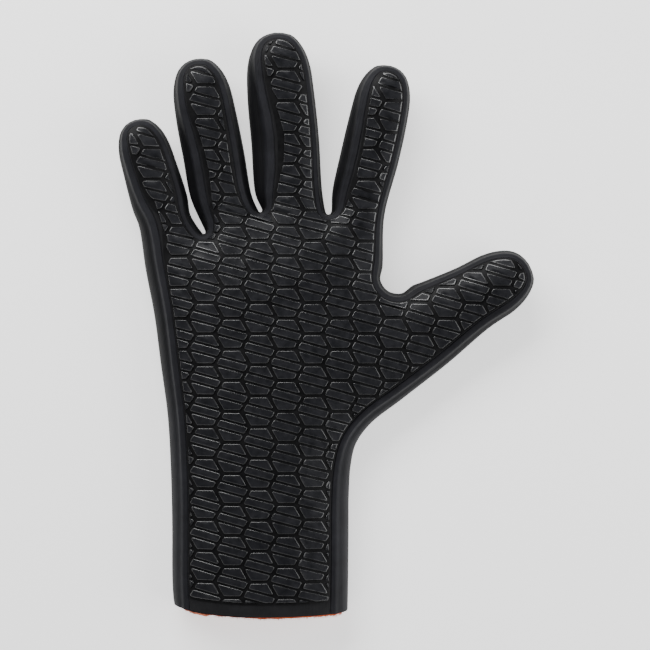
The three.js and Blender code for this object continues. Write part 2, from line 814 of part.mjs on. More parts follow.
function piece(name, geometry, color, roughness) {
  const mesh = new THREE.Mesh(
    geometry,
    new THREE.MeshStandardMaterial({ color, roughness, metalness: 0 }),
  );
  mesh.name = name;
  return mesh;
}

const sidePanelNames = [
  'side_strip_pinky',
  'fourchette_pinky_ring',
  'fourchette_ring_middle',
  'fourchette_middle_index',
  'fourchette_index_thumb',
  'side_strip_thumb',
];

function makeGlove() {
  const glove = new THREE.Group();
  const palm = makePalmPanel();
  glove.add(piece('palm_panel', palm.geometry, neopreneColour, 0.85));
  glove.add(piece('back_panel', makeBackPanel(), neopreneColour, 0.85));
  const tips = outline.flatMap((point, index) => (point.isTip ? [index] : []));
  const ends = [0, ...tips, outline.length - 1];
  sidePanelNames.forEach((name, order) => {
    const geometry = makeSidePanel(ends[order], ends[order + 1]);
    glove.add(piece(name, geometry, sidePanelColour, 0.8));
  });
  glove.add(piece('palm_grip', makeGrip(palm), gripColour, 0.45));
  glove.add(piece('lining', makeLining(), liningColour, 0.95));
  return glove;
}

export default makeGlove();
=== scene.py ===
import math

import bpy
import numpy as np
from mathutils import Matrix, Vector
from mathutils.geometry import delaunay_2d_cdt


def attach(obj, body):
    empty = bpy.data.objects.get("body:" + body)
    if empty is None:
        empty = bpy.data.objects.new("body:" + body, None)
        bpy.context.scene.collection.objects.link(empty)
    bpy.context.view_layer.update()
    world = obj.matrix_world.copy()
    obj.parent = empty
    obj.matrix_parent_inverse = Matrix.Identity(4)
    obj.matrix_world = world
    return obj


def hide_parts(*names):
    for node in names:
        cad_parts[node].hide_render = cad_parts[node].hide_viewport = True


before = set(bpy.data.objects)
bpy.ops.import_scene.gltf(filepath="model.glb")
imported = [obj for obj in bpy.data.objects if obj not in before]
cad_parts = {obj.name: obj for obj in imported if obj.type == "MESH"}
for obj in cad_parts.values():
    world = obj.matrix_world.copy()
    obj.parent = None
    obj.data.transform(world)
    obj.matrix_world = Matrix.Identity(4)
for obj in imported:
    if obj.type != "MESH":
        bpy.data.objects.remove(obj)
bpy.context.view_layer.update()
bpy.ops.object.select_all(action="DESELECT")
print("frame loaded")

# The hand's outline, as the frame's solids have it
hand = {
    "cuffHalfWidth": 0.0431,
    "cuffLength": 0.0836,
    "mouthRise": {-1: 0.0042, 1: 0.0012},   # how far each side's corner is cut back
    "palmHalfWidth": 0.052,
    "palmLength": 0.098,
    "fingerHalfWidth": 0.0145,
    "sideStrip": 0.0084,    # how far the side strips reach onto the palm at the cuff
    "tableStep": 0.015,     # spacing at which the strips' reach is evened out
    "evenings": 3,
    "fineStep": 0.0014,     # spacing of the finished edges
    "pullStep": 0.0045,     # spacing of the stretches that shape the heights
}

# Shares of the palm and of each digit: root, lean in degrees from +Y to +X, half width,
# fuller side, where the sides end at the root, reach of the strips on the palm face.
digits = [
    {"x": -0.829, "y": 1.004, "length": 0.0592, "lean": -15.3, "width": 0.897, "full": -1,
     "leftEnd": 1.13, "rightEnd": 0.9, "stripLeft": 0.48, "stripRight": 0.23, "stripTip": 0.23},
    {"x": -0.313, "y": 1.058, "length": 0.0819, "lean": -9.1, "width": 1, "full": -1,
     "leftEnd": 1.05, "rightEnd": 0.99, "stripLeft": 0.44, "stripRight": 0.3, "stripTip": 0.22},
    {"x": 0.294, "y": 1.123, "length": 0.0872, "lean": -3.8, "width": 1.11, "full": -1,
     "leftEnd": 1.06, "rightEnd": 0.96, "stripLeft": 0.52, "stripRight": 0.19, "stripTip": 0.21},
    {"x": 0.885, "y": 1.084, "length": 0.0766, "lean": 11.3, "width": 0.959, "full": 1,
     "leftEnd": 0.99, "rightEnd": 0.97, "stripLeft": 0.5, "stripRight": 0.23, "stripTip": 0.23},
    {"x": 1.4, "y": 0.512, "length": 0.067, "lean": 60.2, "width": 1.13, "full": -1,
     "leftEnd": 1.24, "rightEnd": 1.24, "stripLeft": 0.2, "stripRight": 0.39, "stripTip": 0.21},
]
tipStations = [
    {"depth": 0.09, "full": 0.51, "slack": 0.32},
    {"depth": 0.28, "full": 0.75, "slack": 0.53},
    {"depth": 0.6, "full": 0.93, "slack": 0.72},
    {"depth": 1.05, "full": 1.05, "slack": 0.85},
    {"depth": 1.9, "full": 1.1, "slack": 0.92},
    {"depth": 3.2, "full": 1.08, "slack": 0.97},
]
tipShape = {"offset": 0.14, "stripDepth": 1.9, "endClear": 0.6}
webs = [
    {"before": 0.86, "after": 0.8, "drop": 1.01, "lean": -27, "open": -24,
     "radius": 0.055, "strip": 0.52},
    {"before": 0.84, "after": 0.88, "drop": 0.61, "lean": -22, "open": -8,
     "radius": 0.062, "strip": 0.43},
    {"before": 0.88, "after": 0.84, "drop": 0.79, "lean": -2.5, "open": 3,
     "radius": 0.097, "strip": 0.45},
    {"before": 0.93, "after": 0.72, "drop": 1.5, "lean": 20, "open": 32,
     "radius": 0.59, "strip": 0.55},
]
leftSide = [
    {"up": -1, "out": 0.975, "strip": 1},
    {"up": -0.92, "out": 0.985, "strip": 1},
    {"up": -0.8, "out": 0.998, "strip": 1},
    {"up": -0.5, "out": 1, "strip": 1.04},
    {"up": -0.2, "out": 1.013, "strip": 1.07},
    {"up": 0.12, "out": 0.87, "strip": 1.07},
    {"up": 0.37, "out": 0.933, "strip": 1.1},
    {"up": 0.62, "out": 0.995, "strip": 1.14},
    {"up": 0.85, "out": 1.077, "strip": 1.12},
    {"up": 1.06, "out": 1.136, "strip": 1},
]
rightSide = [
    {"up": 0.2, "out": 1.318, "strip": 0.83},
    {"up": 0.08, "out": 1.028, "strip": 0.93},
    {"up": -0.02, "out": 1.08, "strip": 0.98},
    {"up": -0.14, "out": 1.022, "strip": 1},
    {"up": -0.3, "out": 1, "strip": 1},
    {"up": -0.6, "out": 0.995, "strip": 1},
    {"up": -0.92, "out": 0.988, "strip": 1},
    {"up": -1, "out": 0.985, "strip": 1},
]
sideEnds = {"left": 0.7, "right": 0.86}


def leaning(degrees):
    lean = math.radians(degrees)
    return np.array([math.sin(lean), math.cos(lean)]), np.array([math.cos(lean), -math.sin(lean)])


def mouthLine(x):
    rise = np.where(np.asarray(x) < 0, hand["mouthRise"][-1], hand["mouthRise"][1])
    return rise * (np.asarray(x) / hand["cuffHalfWidth"]) ** 2 - hand["cuffLength"]


def digitPoint(digit, depth, side, share):
    along, right = leaning(digit["lean"])
    root = np.array([digit["x"] * hand["palmHalfWidth"], digit["y"] * hand["palmLength"]])
    half = digit["width"] * hand["fingerHalfWidth"]
    return root + along * (digit["length"] - depth) + right * side * share * half


def digitEnd(digit, side, endShare):
    share = digit["leftEnd"] if side < 0 else digit["rightEnd"]
    return digitPoint(digit, endShare * digit["length"], side, share)


def digitSide(digit, side, endShare):
    half = digit["width"] * hand["fingerHalfWidth"]
    column = "full" if side == digit["full"] else "slack"
    strip = digit["stripLeft"] if side < 0 else digit["stripRight"]
    lastDepth = endShare * digit["length"] / half - tipShape["endClear"]
    points = []
    for row in tipStations:
        if row["depth"] < lastDepth:
            blend = min(1, row["depth"] / tipShape["stripDepth"])
            reach = half * (digit["stripTip"] * (1 - blend) + strip * blend)
            points.append((digitPoint(digit, row["depth"] * half, side, row[column]), reach, False))
    points.append((digitEnd(digit, side, endShare), half * strip, False))
    return points


def webPoints(web, before, after):
    radius = web["radius"] * hand["fingerHalfWidth"]
    bottom = (digitEnd(before, 1, web["before"]) + digitEnd(after, -1, web["after"])) / 2
    bottom = bottom - leaning(web["lean"])[0] * web["drop"] * hand["fingerHalfWidth"]
    middle = bottom + leaning(web["open"])[0] * radius
    reach = web["strip"] * hand["sideStrip"]
    turns = (90, 45, 0, -45, -90)
    return [(middle - leaning(web["open"] + turn)[0] * radius, reach, False) for turn in turns]


def palmSide(side, rows):
    points = []
    for row in rows:
        below = row["up"] < 0
        x = side * row["out"] * (hand["cuffHalfWidth"] if below else hand["palmHalfWidth"])
        y = row["up"] * (hand["cuffLength"] if below else hand["palmLength"])
        if row["up"] == -1:
            y = float(mouthLine(x))
        points.append((np.array([x, y]), row["strip"] * hand["sideStrip"], False))
    return points


def outlineControls():
    controls = palmSide(-1, leftSide)
    for order, digit in enumerate(digits):
        web = webs[order] if order < len(webs) else None
        climb = digitSide(digit, -1, webs[order - 1]["after"] if order else sideEnds["left"])
        tip = digitPoint(digit, 0, digit["full"], tipShape["offset"])
        tipReach = digit["stripTip"] * digit["width"] * hand["fingerHalfWidth"]
        controls += climb[::-1] + [(tip, tipReach, True)]
        controls += digitSide(digit, 1, web["before"] if web else sideEnds["right"])
        if web:
            controls += webPoints(web, digit, digits[order + 1])
    return controls + palmSide(1, rightSide)


# A centripetal curve through the controls, sampled at a spacing. Returns places and the
# share of the way through the controls that each one is at.
def sampleCurve(controls, spacing):
    at = np.array([control[0] for control in controls])
    at = np.vstack([2 * at[0] - at[1], at, 2 * at[-1] - at[-2]])
    places, shares = [], []
    for span in range(len(controls) - 1):
        p0, p1, p2, p3 = at[span:span + 4]
        t0, t1, t2 = (np.linalg.norm(b - a) ** 0.5 for a, b in ((p0, p1), (p1, p2), (p2, p3)))
        leave = ((p1 - p0) / t0 - (p2 - p0) / (t0 + t1) + (p2 - p1) / t1) * t1
        arrive = ((p2 - p1) / t1 - (p3 - p1) / (t1 + t2) + (p3 - p2) / t2) * t1
        steps = max(1, math.ceil(np.linalg.norm(p2 - p1) / spacing))
        for t in np.arange(steps) / steps:
            bend = (-3 * p1 + 3 * p2 - 2 * leave - arrive) * t ** 2
            places.append(p1 + leave * t + bend + (2 * p1 - 2 * p2 + leave + arrive) * t ** 3)
            shares.append(span + t)
    return np.array(places + [at[-2]]), np.array(shares + [len(controls) - 1])


def evenedStrips(controls):
    _, shares = sampleCurve(controls, hand["tableStep"])
    strips = np.interp(shares, np.arange(len(controls)), [control[1] for control in controls])
    for _ in range(hand["evenings"]):
        padded = np.concatenate([strips[:1], strips, strips[-1:]])
        strips = strips / 2 + (padded[:-2] + padded[2:]) / 4
    return shares, strips


def makeOutline(spacing):
    controls = outlineControls()
    at, shares = sampleCurve(controls, spacing)
    strip = np.interp(shares, *evenedStrips(controls))
    around = np.vstack([2 * at[0] - at[1], at, 2 * at[-1] - at[-2]])
    tangent = around[2:] - around[:-2]
    tangent /= np.linalg.norm(tangent, axis=1)[:, None]
    tips = [int(np.argmin(abs(shares - n))) for n, control in enumerate(controls) if control[2]]
    inward = np.stack([tangent[:, 1], -tangent[:, 0]], axis=1)
    return {"at": at, "strip": strip, "inward": inward, "tips": tips}


edge = makeOutline(hand["fineStep"])
edgeSteps = np.linalg.norm(np.diff(edge["at"], axis=0), axis=1)
edgeRun = np.concatenate([[0], np.cumsum(edgeSteps)])
print("outline drawn:", len(edge["at"]), "places")

# The shell's heights over the table, and its roundings
shell = {
    "wall": 0.003,
    "edgeHeight": 0.0085,
    "palmRise": 0.009,
    "palmCrown": 0.0075,
    "crownReach": 0.034,
    "edgeRound": 0.0085,
    "edgeRoundSkew": 0.002,
    "backRound": 0.007,
    "backStrip": 0.005,
    "curlLift": 0.008,
    "curlStart": 0.062,
    "curlEnd": 0.15,
    "curlFrom": (0.12, 0.51),       # shares of the palm's half width and length
    "curlAbove": (0.15, 0.6),       # shares of the palm's length
    "swell": 0.00035,               # slow unevenness of the soft palm
    "waves": ((97, 41, 0.7), (-58, 163, 2.1), (210, 134, 0)),   # radians a metre in x, in y; phase
    "slopeStep": 0.00004,
    "onLine": 1e-7,                 # nearer than this, a place is on a stretch's line
    "chunk": 4000,                  # places worked out at a time
    "smoothAngle": 38,
}


def makeStretches():
    places = makeOutline(hand["pullStep"])["at"]
    pastMouth = np.array([[0, -4 * hand["cuffLength"]]])
    places = np.vstack([places[:1] + pastMouth, places, places[-1:] + pastMouth])
    along = np.diff(places, axis=0)
    length = np.linalg.norm(along, axis=1)
    along = along / length[:, None]
    rounds = shell["edgeRound"] + shell["edgeRoundSkew"] * along[:, 1]
    return places[:-1], along, length, rounds


stretchFrom, stretchAlong, stretchLength, stretchRound = makeStretches()


# A smooth distance from the edge, in metres and in widths of the rounding there.
def insideDistance(places):
    found = np.empty((len(places), 2))
    for start in range(0, len(places), shell["chunk"]):
        part = places[start:start + shell["chunk"]]
        dx = stretchFrom[:, 0] - part[:, :1]
        dy = stretchFrom[:, 1] - part[:, 1:]
        near = dx * stretchAlong[:, 0] + dy * stretchAlong[:, 1]
        far = near + stretchLength
        side = dx * stretchAlong[:, 1] - dy * stretchAlong[:, 0]
        inLine = np.abs(side) < shell["onLine"]
        side = np.where(inLine, 1, side)
        pull = (far / np.hypot(far, side) - near / np.hypot(near, side)) / side ** 2
        pull = np.where(inLine, np.abs(1 / near ** 2 - 1 / far ** 2) / 2, pull)
        found[start:start + len(part), 0] = np.sqrt(2 / pull.sum(axis=1))
        found[start:start + len(part), 1] = np.sqrt(2 / (pull @ stretchRound ** 2))
    return found[:, 0], found[:, 1]


def smoothStep(value, low, high):
    t = np.clip((value - low) / (high - low), 0, 1)
    return t * t * (3 - 2 * t)


def curl(places):
    middle = np.array(shell["curlFrom"]) * (hand["palmHalfWidth"], hand["palmLength"])
    away = np.linalg.norm(places - middle, axis=1)
    low, high = (share * hand["palmLength"] for share in shell["curlAbove"])
    return shell["curlLift"] * smoothStep(places[:, 1], low, high) \
        * smoothStep(away, shell["curlStart"], shell["curlEnd"])


def swell(places):
    x, y = places[:, 0], places[:, 1]
    waves = sum(np.sin(a * x + b * y + phase) for a, b, phase in shell["waves"])
    return shell["swell"] * waves / 2


def heightParts(places, face):
    reach, rounds = insideDistance(places)
    if face < 0:
        return reach, reach / shell["backRound"], curl(places)
    crown = shell["palmCrown"] * np.sin(np.pi / 2 * np.minimum(1, reach / shell["crownReach"]))
    settled = np.minimum(1, rounds / 2)
    return reach, rounds, curl(places) + crown + swell(places) * settled


# The outer surface over places inside the outline: positions and normals.
def surfaceAt(places, face):
    step = shell["slopeStep"]
    shifts = ((0, 0), (step, 0), (-step, 0), (0, step), (0, -step))
    here, right, left, up, down = (heightParts(places + shift, face) for shift in shifts)
    height = shell["palmRise"] if face > 0 else shell["edgeHeight"]
    cosine = np.maximum(0, 1 - here[1])
    sine = np.sqrt(1 - cosine ** 2)
    slopes = []
    for high, low in ((right, left), (up, down)):
        inward = (high[1] - low[1]) / (2 * step)
        rise = (high[2] - low[2]) / (2 * step)
        slopes.append(-height * cosine * inward - face * sine * rise)
    normal = np.stack([*slopes, face * sine], axis=1)
    normal /= np.linalg.norm(normal, axis=1)[:, None]
    z = shell["edgeHeight"] + face * height * sine + here[2]
    return np.column_stack([places, z]), normal


# How places walk from the outline inwards to their reach
walk = {
    "start": 0.0005,
    "rounds": 30,
    "near": 5e-6,           # near enough to the reach
    "leastSlope": 0.2,
    "longest": 0.0012,      # longest move in a round
    "shortest": 1e-9,
}


# The places straight inwards from the outline where the distance is a given reach.
def placesInside(reach):
    spots = edge["at"] + edge["inward"] * np.minimum(reach, walk["start"])[:, None]
    step = shell["slopeStep"]
    moving = np.arange(len(spots))
    for _ in range(walk["rounds"]):
        part = spots[moving]
        short = reach[moving] - insideDistance(part)[0]
        unsettled = np.abs(short) > walk["near"]
        if not unsettled.any():
            break
        moving, part, short = moving[unsettled], part[unsettled], short[unsettled]
        slope = np.stack([insideDistance(part + shift)[0] - insideDistance(part - shift)[0]
                          for shift in np.eye(2) * step], axis=1) / (2 * step)
        steepness = np.maximum(walk["leastSlope"], (slope ** 2).sum(axis=1))
        move = slope * (short / steepness)[:, None]
        length = np.maximum(np.linalg.norm(move, axis=1), walk["shortest"])
        spots[moving] = part + move * np.minimum(1, walk["longest"] / length)[:, None]
    for end in (0, -1):
        spots[end, 1] = mouthLine(spots[end, 0])
    return spots


palmSeam = placesInside(edge["strip"])
backSeam = placesInside(np.full(len(edge["at"]), shell["backStrip"]))
print("seams placed")


# Materials

def newMaterial(name):
    material = bpy.data.materials.new(name)
    material.use_nodes = True
    nodes = material.node_tree.nodes
    return material, nodes, material.node_tree.links, nodes["Principled BSDF"]


def setInputs(node, values):
    for key, value in values.items():
        node.inputs[key].default_value = value


def addNode(nodes, kind, values=None, **settings):
    node = nodes.new(kind)
    for key, value in settings.items():
        setattr(node, key, value)
    setInputs(node, values or {})
    return node


def shades(nodes, links, factor, dark, light, low=0.3, high=0.7):
    ramp = nodes.new("ShaderNodeValToRGB")
    ramp.color_ramp.elements[0].position = low
    ramp.color_ramp.elements[1].position = high
    ramp.color_ramp.elements[0].color = (*dark, 1)
    ramp.color_ramp.elements[1].color = (*light, 1)
    links.new(factor, ramp.inputs["Fac"])
    return ramp


def addBump(nodes, links, height, strength, distance, normal=None):
    bump = addNode(nodes, "ShaderNodeBump", {"Strength": strength, "Distance": distance})
    links.new(height, bump.inputs["Height"])
    if normal:
        links.new(normal, bump.inputs["Normal"])
    return bump.outputs["Normal"]


# Knitted nylon over neoprene: fine wales, paler in patches, and scaled per point by painted light:
# painted highlight on the strips' ridges, painted shade outside them on the fingers.
def makeJersey(name, dark, light, coordinates):
    material, nodes, links, shader = newMaterial(name)
    source = nodes.new("ShaderNodeTexCoord").outputs[coordinates]
    patches = addNode(nodes, "ShaderNodeTexNoise", {"Scale": 90, "Detail": 4, "Roughness": 0.6})
    fibres = addNode(nodes, "ShaderNodeTexNoise", {"Scale": 2600, "Detail": 2})
    stretch = addNode(nodes, "ShaderNodeMapping", {"Scale": (1, 0.12, 1)})
    wales = addNode(nodes, "ShaderNodeTexWave", {"Scale": 460, "Distortion": 1.2, "Detail": 1},
                    bands_direction="X")
    links.new(source, stretch.inputs["Vector"])
    links.new(source, patches.inputs["Vector"])
    links.new(stretch.outputs["Vector"], fibres.inputs["Vector"])
    links.new(source, wales.inputs["Vector"])
    fibreShare = 0.35
    mixed = addNode(nodes, "ShaderNodeMath", {1: fibreShare}, operation="MULTIPLY_ADD")
    links.new(fibres.outputs["Fac"], mixed.inputs[0])
    links.new(patches.outputs["Fac"], mixed.inputs[2])
    ramp = shades(nodes, links, mixed.outputs[0], dark, light, low=0.45, high=0.9)
    # The colour is scaled by a per-point attribute that paints light: painted highlight and painted
    # shade.
    wearAndPaintedLight = nodes.new("ShaderNodeAttribute")
    wearAndPaintedLight.attribute_name = "wearAndPaintedLight"
    shaded = addNode(nodes, "ShaderNodeVectorMath", operation="SCALE")
    links.new(ramp.outputs["Color"], shaded.inputs[0])
    links.new(wearAndPaintedLight.outputs["Fac"], shaded.inputs["Scale"])
    links.new(shaded.outputs["Vector"], shader.inputs["Base Color"])
    knit = addBump(nodes, links, wales.outputs["Fac"], strength=0.35, distance=0.00012)
    fuzz = addBump(nodes, links, fibres.outputs["Fac"], strength=0.3, distance=0.0002, normal=knit)
    links.new(fuzz, shader.inputs["Normal"])
    setInputs(shader, {"Roughness": 0.62, "Specular IOR Level": 0.14,
                       "Sheen Weight": 0.008, "Sheen Roughness": 0.45})
    return material


def makeRubber(name, dark, light, gloss, specular):
    material, nodes, links, shader = newMaterial(name)
    source = nodes.new("ShaderNodeTexCoord").outputs["Object"]
    clouds = addNode(nodes, "ShaderNodeTexNoise", {"Scale": 260, "Detail": 5, "Roughness": 0.65})
    grain = addNode(nodes, "ShaderNodeTexNoise", {"Scale": 1900, "Detail": 3, "Roughness": 0.6})
    links.new(source, clouds.inputs["Vector"])
    links.new(source, grain.inputs["Vector"])
    ramp = shades(nodes, links, clouds.outputs["Fac"], dark, light)
    links.new(ramp.outputs["Color"], shader.inputs["Base Color"])
    wearAndPaintedLight = addNode(nodes, "ShaderNodeMapRange", {"From Min": 0.3, "From Max": 0.7,
                                                 "To Min": gloss[0], "To Max": gloss[1]})
    links.new(clouds.outputs["Fac"], wearAndPaintedLight.inputs["Value"])
    links.new(wearAndPaintedLight.outputs["Result"], shader.inputs["Roughness"])
    setInputs(shader, {"Specular IOR Level": specular})
    bumps = addBump(nodes, links, grain.outputs["Fac"], strength=0.25, distance=0.00012)
    dents = addBump(nodes, links, clouds.outputs["Fac"], strength=0.3, distance=0.0005,
                    normal=bumps)
    waves = addNode(nodes, "ShaderNodeTexNoise", {"Scale": 85, "Detail": 1})
    links.new(source, waves.inputs["Vector"])
    swells = addBump(nodes, links, waves.outputs["Fac"], strength=0.6, distance=0.0014,
                     normal=dents)
    links.new(swells, shader.inputs["Normal"])
    return material


def makeFleece():
    material, nodes, links, shader = newMaterial("orange_fleece")
    source = nodes.new("ShaderNodeTexCoord").outputs["Object"]
    tufts = addNode(nodes, "ShaderNodeTexVoronoi", {"Scale": 900})
    clouds = addNode(nodes, "ShaderNodeTexNoise", {"Scale": 160, "Detail": 4})
    links.new(source, tufts.inputs["Vector"])
    links.new(source, clouds.inputs["Vector"])
    ramp = shades(nodes, links, clouds.outputs["Fac"], (0.55, 0.075, 0.01), (0.85, 0.16, 0.03))
    links.new(ramp.outputs["Color"], shader.inputs["Base Color"])
    nap = addBump(nodes, links, tufts.outputs["Distance"], strength=0.8, distance=0.0006)
    links.new(nap, shader.inputs["Normal"])
    setInputs(shader, {"Roughness": 0.9, "Sheen Weight": 0.5})
    return material


def makeFoam():
    material, nodes, links, shader = newMaterial("cut_neoprene")
    source = nodes.new("ShaderNodeTexCoord").outputs["Object"]
    cells = addNode(nodes, "ShaderNodeTexVoronoi", {"Scale": 2500})
    links.new(source, cells.inputs["Vector"])
    ramp = shades(nodes, links, cells.outputs["Distance"],
                  (0.006, 0.006, 0.006), (0.02, 0.02, 0.021))
    links.new(ramp.outputs["Color"], shader.inputs["Base Color"])
    pores = addBump(nodes, links, cells.outputs["Distance"], strength=0.6, distance=0.0002)
    links.new(pores, shader.inputs["Normal"])
    setInputs(shader, {"Roughness": 0.85})
    return material


palmJersey = makeJersey("palm_jersey", (0.006, 0.006, 0.0068), (0.012, 0.012, 0.0135), "Object")
stripJersey = makeJersey("strip_jersey", (0.0062, 0.0063, 0.0078), (0.0125, 0.0127, 0.0155), "UV")
rubber = makeRubber("printed_rubber", (0.0062, 0.0066, 0.008), (0.0135, 0.0138, 0.0165),
                    gloss=(0.34, 0.54), specular=0.13)
grooveRubber = makeRubber("groove_rubber", (0.0028, 0.0028, 0.0032), (0.0055, 0.0055, 0.006),
                          gloss=(0.4, 0.6), specular=0.12)
rimRubber = makeRubber("polished_rims", (0.006, 0.006, 0.007), (0.013, 0.013, 0.015),
                       gloss=(0.1, 0.46), specular=1)
fleece = makeFleece()
foam = makeFoam()
print("materials made")


def makeMesh(name, points, faces, materials):
    mesh = bpy.data.meshes.new(name)
    corners = [tuple(int(corner) for corner in face) for face in faces]
    mesh.from_pydata(np.asarray(points).tolist(), [], corners)
    mesh.validate()
    for material in materials:
        mesh.materials.append(material)
    piece = bpy.data.objects.new(name, mesh)
    bpy.context.collection.objects.link(piece)
    return piece


# How pale or dark the jersey is painted at each outer point, as painted highlight and painted
# shade. The inner points get the same values.
def givePaintedLight(piece, values):
    wearAndPaintedLight = piece.data.attributes.new("wearAndPaintedLight", "FLOAT", "POINT")
    wearAndPaintedLight.data.foreach_set("value", np.tile(np.asarray(values, float).ravel(), 2))


def pickOnly(piece):
    bpy.ops.object.select_all(action="DESELECT")
    piece.select_set(True)
    bpy.context.view_layer.objects.active = piece


def thicken(piece, thickness):
    pickOnly(piece)
    bpy.ops.object.modifier_add(type="SOLIDIFY")
    wall = piece.modifiers[-1]
    wall.thickness = thickness
    wall.offset = -1
    bpy.ops.object.modifier_apply(modifier=wall.name)


def joinAll(piece, others, smoothAngle):
    pickOnly(piece)
    for other in others:
        other.select_set(True)
    bpy.ops.object.join()
    bpy.ops.object.shade_smooth_by_angle(angle=math.radians(smoothAngle))


# A wall between an outer and an inner face, with cut foam along its edges.
def makeShell(name, outer, inner, faces, material):
    count = len(outer)
    faces = [[int(corner) for corner in face] for face in faces]
    edges = {pair for face in faces for pair in zip(face, face[1:] + face[:1])}
    inside = [[corner + count for corner in reversed(face)] for face in faces]
    rims = [(b, a, a + count, b + count) for a, b in sorted(edges) if (b, a) not in edges]
    points = np.vstack([outer, inner])
    piece = makeMesh(name, points, faces + inside + rims, [material, fleece, foam])
    for face in piece.data.polygons:
        isInner = [corner >= count for corner in face.vertices]
        face.material_index = 1 if all(isInner) else 2 if any(isInner) else 0
    pickOnly(piece)
    bpy.ops.object.shade_smooth_by_angle(angle=math.radians(shell["smoothAngle"]))
    return piece


def finishPiece(piece, slot, *nodes):
    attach(piece, "root")
    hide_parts(*nodes)
    print(piece.name, len(piece.data.polygons), "faces")


# Side strips: columns across them from the back seam over the edge to the palm seam
strip = {
    "backShares": (1, 0.93, 0.8, 0.62, 0.45, 0.3, 0.17, 0.08, 0.025),
    "palmShares": (0.035, 0.065, 0.11, 0.19, 0.28, 0.38, 0.47, 0.55, 0.62, 0.68, 0.735,
                   0.785, 0.83, 0.87, 0.905, 0.935, 0.96, 0.98, 1),
    "sureFrom": 0.15,       # share of the reach from which the surface's slope is sure
    "seamHalf": -0.00006,   # the panels' edges just press into each other
    "seamRound": 0.0009,    # rounding of a panel's edge at the crack
    "seamDrop": 0.0007,
    "ridgeAt": 0.0021,      # a rolled ridge runs beside the palm seam
    "ridgeHalf": 0.0014,
    "ridgeHigh": 0.0008,
    "foldAt": 0.0043,       # a shallow fold outside the ridge
    "foldHalf": 0.0011,
    "foldDeep": 0.0004,
    "cuffRelief": 0.5,      # share of ridge and fold that is left on the cuff
    "wearAndPaintedLight": 1.3,            # painted highlight on the ridge, and painted shade on the fingers outside it
    "paintedShadeOutside": 0.4,
    "edgeSteep": 0.96,      # under 1, so that a panel's edge isn't quite upright
    "fullReach": 0.0055,    # ridge and fold shrink where a strip is narrower than this
    "cuffBlend": (-0.01, 0.03),     # depths below the palm's foot where they sink
    "paleBlend": (-0.06, 0.02),     # depths where the painted shade on a strip's outside gives way to a paler tone on the cuff
    "ridgeBlend": (0.45, 0.68),     # shares of a strip's reach where the painted highlight on the ridge sets in
    "sideways": 0.7,        # how far out a normal near the outline has to lean
}


# How far a panel's face lies under its plain surface at a distance from its seam.
def seamDip(distance):
    inner = np.clip(1 - distance / strip["seamRound"], 0, 1)
    return strip["seamDrop"] * (1 - np.sqrt(1 - inner ** 2 * strip["edgeSteep"]))


def hump(distance, middle, half):
    return np.cos(np.pi / 2 * np.clip((distance - middle) / half, -1, 1)) ** 2


def stripRelief(distance, reach, y):
    shrunk = np.minimum(1, reach / strip["fullReach"])
    narrow = shrunk * (1 - (1 - strip["cuffRelief"]) * smoothStep(-y, *strip["cuffBlend"]))
    ridge = hump(distance, strip["ridgeAt"] * shrunk, strip["ridgeHalf"] * shrunk)
    fold = hump(distance, strip["foldAt"] * shrunk, strip["foldHalf"] * shrunk)
    relief = strip["ridgeHigh"] * narrow * ridge - strip["foldDeep"] * narrow * fold
    return relief - seamDip(distance)


# Painted light: a painted highlight along the ridge, and outside it painted shade on the fingers
# and a tone in between on the cuff.
def stripPaintedLight(places, share):
    paler = smoothStep(-places[:, 1], *strip["paleBlend"])
    outer = strip["paintedShadeOutside"] + (1 - strip["paintedShadeOutside"]) * paler
    return outer + (strip["wearAndPaintedLight"] - outer) * smoothStep(share, *strip["ridgeBlend"])


# The surface in a strip. Right at the outline its slope is unsure, so the outline gives its side.
def stripSurface(places, face, rows, share):
    position, normal = surfaceAt(places, face)
    if share < strip["sureFrom"]:
        flat = np.linalg.norm(normal[:, :2], axis=1)
        wrong = (normal[:, :2] * edge["inward"][rows]).sum(axis=1) > -strip["sideways"] * flat
        normal[wrong, :2] = -edge["inward"][rows][wrong] * flat[wrong, None]
    return position, normal


